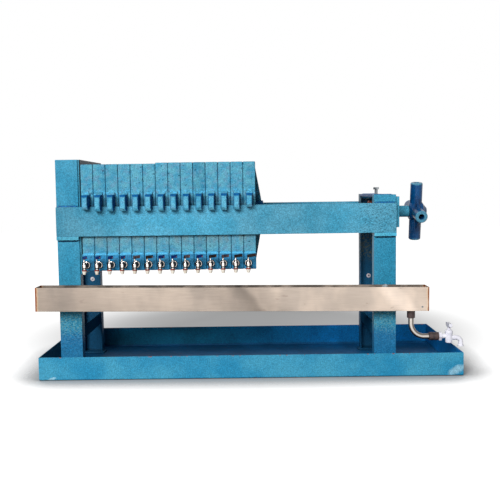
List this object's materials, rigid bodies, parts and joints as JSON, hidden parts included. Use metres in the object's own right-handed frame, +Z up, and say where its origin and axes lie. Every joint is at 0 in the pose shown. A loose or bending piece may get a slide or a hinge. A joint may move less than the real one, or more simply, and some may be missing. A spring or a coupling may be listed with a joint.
{
  "type": "plate filter press",
  "caption": "Plate filter press: square cast plates hung on side rails, closed by a screw with a capstan head, drain cocks over a sloping trough, all standing in a drip tray.",
  "frame": {"origin": "middle of the drip tray's underside", "axes": "+X along the rails from the fixed head to the screw, +Y to the back, +Z up"},
  "size_m": [1.4344, 0.54, 0.734],
  "materials": {
    "frame_paint": "blue hammered paint",
    "cast_paint": "blue paint over rough castings",
    "tray_paint": "blue paint on sheet",
    "stainless": "brushed",
    "screw_steel": "greased steel",
    "bronze": "turned",
    "zinc": "zinc plated",
    "black_fitting": "black pipe fitting",
    "chrome": "plated",
    "lever_black": "black lever",
    "white_plastic": "moulded"
  },
  "bodies": {
    "frame": {"drip_tray": "tray_paint", "left_posts": "frame_paint", "right_posts": "frame_paint", "rail_seats": "frame_paint", "side_rails": "frame_paint", "fixed_head": "frame_paint", "tie_bars": "frame_paint", "crosshead": "frame_paint", "thrust_plate": "frame_paint", "screw_nut": "bronze", "lock_bolt": "zinc", "collecting_trough": "stainless", "drain_sockets": "black_fitting", "drain_pipe": "stainless", "tap_body": "white_plastic"},
    "tap_handle": {"tap_handle": "white_plastic"},
    "press_screw": {"press_screw": "screw_steel", "capstan_wheel": "cast_paint"},
    "follower": {"follower_plate": "cast_paint", "cock_14": "chrome"},
    "plate_01": {"plate_01": "cast_paint", "cock_01": "chrome"},
    "plate_02": {"plate_02": "cast_paint", "cock_02": "chrome"},
    "plate_03": {"plate_03": "cast_paint", "cock_03": "chrome"},
    "plate_04": {"plate_04": "cast_paint", "cock_04": "chrome"},
    "plate_05": {"plate_05": "cast_paint", "cock_05": "chrome"},
    "plate_06": {"plate_06": "cast_paint", "cock_06": "chrome"},
    "plate_07": {"plate_07": "cast_paint", "cock_07": "chrome"},
    "plate_08": {"plate_08": "cast_paint", "cock_08": "chrome"},
    "plate_09": {"plate_09": "cast_paint", "cock_09": "chrome"},
    "plate_10": {"plate_10": "cast_paint", "cock_10": "chrome"},
    "plate_11": {"plate_11": "cast_paint", "cock_11": "chrome"},
    "plate_12": {"plate_12": "cast_paint", "cock_12": "chrome"},
    "plate_13": {"plate_13": "cast_paint", "cock_13": "chrome"},
    "cock_lever_01": {"cock_lever_01": "lever_black"},
    "cock_lever_02": {"cock_lever_02": "lever_black"},
    "cock_lever_03": {"cock_lever_03": "lever_black"},
    "cock_lever_04": {"cock_lever_04": "lever_black"},
    "cock_lever_05": {"cock_lever_05": "lever_black"},
    "cock_lever_06": {"cock_lever_06": "lever_black"},
    "cock_lever_07": {"cock_lever_07": "lever_black"},
    "cock_lever_08": {"cock_lever_08": "lever_black"},
    "cock_lever_09": {"cock_lever_09": "lever_black"},
    "cock_lever_10": {"cock_lever_10": "lever_black"},
    "cock_lever_11": {"cock_lever_11": "lever_black"},
    "cock_lever_12": {"cock_lever_12": "lever_black"},
    "cock_lever_13": {"cock_lever_13": "lever_black"},
    "cock_lever_14": {"cock_lever_14": "lever_black"}
  },
  "joints": [
    {"name": "screw_turn", "type": "hinge", "parent": "follower", "child": "press_screw", "pos_m": [0.602, 0, 0.54], "axis": [1, 0, 0], "range_deg": [0, 8640]},
    {"name": "follower_slide", "type": "slide", "parent": "frame", "child": "follower", "axis": [1, 0, 0], "range_m": [0, 0.1681]},
    {"name": "tap_turn", "type": "hinge", "parent": "frame", "child": "tap_handle", "pos_m": [0.669, -0.221, 0.146], "axis": [0, 0, 1], "range_deg": [0, 90]},
    {"name": "plate_01_slide", "type": "slide", "parent": "frame", "child": "plate_01", "axis": [1, 0, 0], "range_m": [0, 0.0121]},
    {"name": "plate_02_slide", "type": "slide", "parent": "frame", "child": "plate_02", "axis": [1, 0, 0], "range_m": [0, 0.0241]},
    {"name": "plate_03_slide", "type": "slide", "parent": "frame", "child": "plate_03", "axis": [1, 0, 0], "range_m": [0, 0.0361]},
    {"name": "plate_04_slide", "type": "slide", "parent": "frame", "child": "plate_04", "axis": [1, 0, 0], "range_m": [0, 0.0481]},
    {"name": "plate_05_slide", "type": "slide", "parent": "frame", "child": "plate_05", "axis": [1, 0, 0], "range_m": [0, 0.0601]},
    {"name": "plate_06_slide", "type": "slide", "parent": "frame", "child": "plate_06", "axis": [1, 0, 0], "range_m": [0, 0.0721]},
    {"name": "plate_07_slide", "type": "slide", "parent": "frame", "child": "plate_07", "axis": [1, 0, 0], "range_m": [0, 0.0841]},
    {"name": "plate_08_slide", "type": "slide", "parent": "frame", "child": "plate_08", "axis": [1, 0, 0], "range_m": [0, 0.0961]},
    {"name": "plate_09_slide", "type": "slide", "parent": "frame", "child": "plate_09", "axis": [1, 0, 0], "range_m": [0, 0.1081]},
    {"name": "plate_10_slide", "type": "slide", "parent": "frame", "child": "plate_10", "axis": [1, 0, 0], "range_m": [0, 0.1201]},
    {"name": "plate_11_slide", "type": "slide", "parent": "frame", "child": "plate_11", "axis": [1, 0, 0], "range_m": [0, 0.1321]},
    {"name": "plate_12_slide", "type": "slide", "parent": "frame", "child": "plate_12", "axis": [1, 0, 0], "range_m": [0, 0.1441]},
    {"name": "plate_13_slide", "type": "slide", "parent": "frame", "child": "plate_13", "axis": [1, 0, 0], "range_m": [0, 0.1561]},
    {"name": "cock_lever_01_turn", "type": "hinge", "parent": "plate_01", "child": "cock_lever_01", "pos_m": [-0.5528, -0.231, 0.391], "axis": [0, 0, -1], "range_deg": [-60, 30]},
    {"name": "cock_lever_02_turn", "type": "hinge", "parent": "plate_02", "child": "cock_lever_02", "pos_m": [-0.5106, -0.231, 0.391], "axis": [0, 0, -1], "range_deg": [-53, 37]},
    {"name": "cock_lever_03_turn", "type": "hinge", "parent": "plate_03", "child": "cock_lever_03", "pos_m": [-0.4684, -0.231, 0.391], "axis": [0, 0, -1], "range_deg": [-55, 35]},
    {"name": "cock_lever_04_turn", "type": "hinge", "parent": "plate_04", "child": "cock_lever_04", "pos_m": [-0.4262, -0.231, 0.391], "axis": [0, 0, -1], "range_deg": [-59, 31]},
    {"name": "cock_lever_05_turn", "type": "hinge", "parent": "plate_05", "child": "cock_lever_05", "pos_m": [-0.384, -0.231, 0.391], "axis": [0, 0, -1], "range_deg": [-42, 48]},
    {"name": "cock_lever_06_turn", "type": "hinge", "parent": "plate_06", "child": "cock_lever_06", "pos_m": [-0.3418, -0.231, 0.391], "axis": [0, 0, -1], "range_deg": [-38, 52]},
    {"name": "cock_lever_07_turn", "type": "hinge", "parent": "plate_07", "child": "cock_lever_07", "pos_m": [-0.2996, -0.231, 0.391], "axis": [0, 0, -1], "range_deg": [-50, 40]},
    {"name": "cock_lever_08_turn", "type": "hinge", "parent": "plate_08", "child": "cock_lever_08", "pos_m": [-0.2574, -0.231, 0.391], "axis": [0, 0, -1], "range_deg": [-52, 38]},
    {"name": "cock_lever_09_turn", "type": "hinge", "parent": "plate_09", "child": "cock_lever_09", "pos_m": [-0.2152, -0.231, 0.391], "axis": [0, 0, -1], "range_deg": [-50, 40]},
    {"name": "cock_lever_10_turn", "type": "hinge", "parent": "plate_10", "child": "cock_lever_10", "pos_m": [-0.173, -0.231, 0.391], "axis": [0, 0, -1], "range_deg": [-48, 42]},
    {"name": "cock_lever_11_turn", "type": "hinge", "parent": "plate_11", "child": "cock_lever_11", "pos_m": [-0.1308, -0.231, 0.391], "axis": [0, 0, -1], "range_deg": [-38, 52]},
    {"name": "cock_lever_12_turn", "type": "hinge", "parent": "plate_12", "child": "cock_lever_12", "pos_m": [-0.0886, -0.231, 0.391], "axis": [0, 0, -1], "range_deg": [-42, 48]},
    {"name": "cock_lever_13_turn", "type": "hinge", "parent": "plate_13", "child": "cock_lever_13", "pos_m": [-0.0464, -0.231, 0.391], "axis": [0, 0, -1], "range_deg": [-30, 60]},
    {"name": "cock_lever_14_turn", "type": "hinge", "parent": "follower", "child": "cock_lever_14", "pos_m": [-0.0042, -0.231, 0.391], "axis": [0, 0, -1], "range_deg": [0, 90]}
  ],
  "couplings": [
    {"joint": "follower_slide", "follows": "screw_turn", "m_per_rad": 0.0011141},
    {"joint": "plate_01_slide", "follows": "screw_turn", "m_per_rad": 0.000079577},
    {"joint": "plate_02_slide", "follows": "screw_turn", "m_per_rad": 0.00015915},
    {"joint": "plate_03_slide", "follows": "screw_turn", "m_per_rad": 0.00023873},
    {"joint": "plate_04_slide", "follows": "screw_turn", "m_per_rad": 0.00031831},
    {"joint": "plate_05_slide", "follows": "screw_turn", "m_per_rad": 0.00039789},
    {"joint": "plate_06_slide", "follows": "screw_turn", "m_per_rad": 0.00047746},
    {"joint": "plate_07_slide", "follows": "screw_turn", "m_per_rad": 0.00055704},
    {"joint": "plate_08_slide", "follows": "screw_turn", "m_per_rad": 0.00063662},
    {"joint": "plate_09_slide", "follows": "screw_turn", "m_per_rad": 0.0007162},
    {"joint": "plate_10_slide", "follows": "screw_turn", "m_per_rad": 0.00079577},
    {"joint": "plate_11_slide", "follows": "screw_turn", "m_per_rad": 0.00087535},
    {"joint": "plate_12_slide", "follows": "screw_turn", "m_per_rad": 0.00095493},
    {"joint": "plate_13_slide", "follows": "screw_turn", "m_per_rad": 0.0010345}
  ]
}
